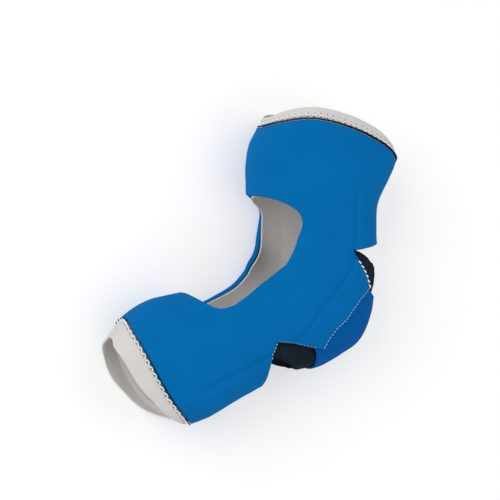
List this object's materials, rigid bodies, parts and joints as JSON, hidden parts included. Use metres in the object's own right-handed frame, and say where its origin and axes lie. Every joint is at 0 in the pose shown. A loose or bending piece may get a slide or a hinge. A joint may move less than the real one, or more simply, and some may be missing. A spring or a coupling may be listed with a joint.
{
  "type": "elbow brace",
  "caption": "Bent padded elbow brace: closed upper arm and forearm cuffs joined by side panels, open over the bend of the elbow, with a cup over a dark gusset behind it.",
  "frame": {"origin": "middle of the bounding box in X and Y, at the plane that the brace lies on", "axes": "X runs from the front of the arm to its back, Y up the upper arm, Z from the lower side of the brace to the side that faces up"},
  "size_m": [0.3124, 0.32, 0.1151],
  "materials": {
    "cover": "smooth knit over foam",
    "lining": "brushed fleece",
    "gusset": "knit",
    "cup": "smooth knit over foam",
    "binding": "woven tape"
  },
  "bodies": {
    "root": {"cover": "cover", "lining": "lining", "upper_collar": "lining", "forearm_collar": "lining", "upper_binding": "binding", "forearm_binding": "binding", "elbow_gusset": "gusset", "elbow_cup": "cup"}
  },
  "joints": []
}
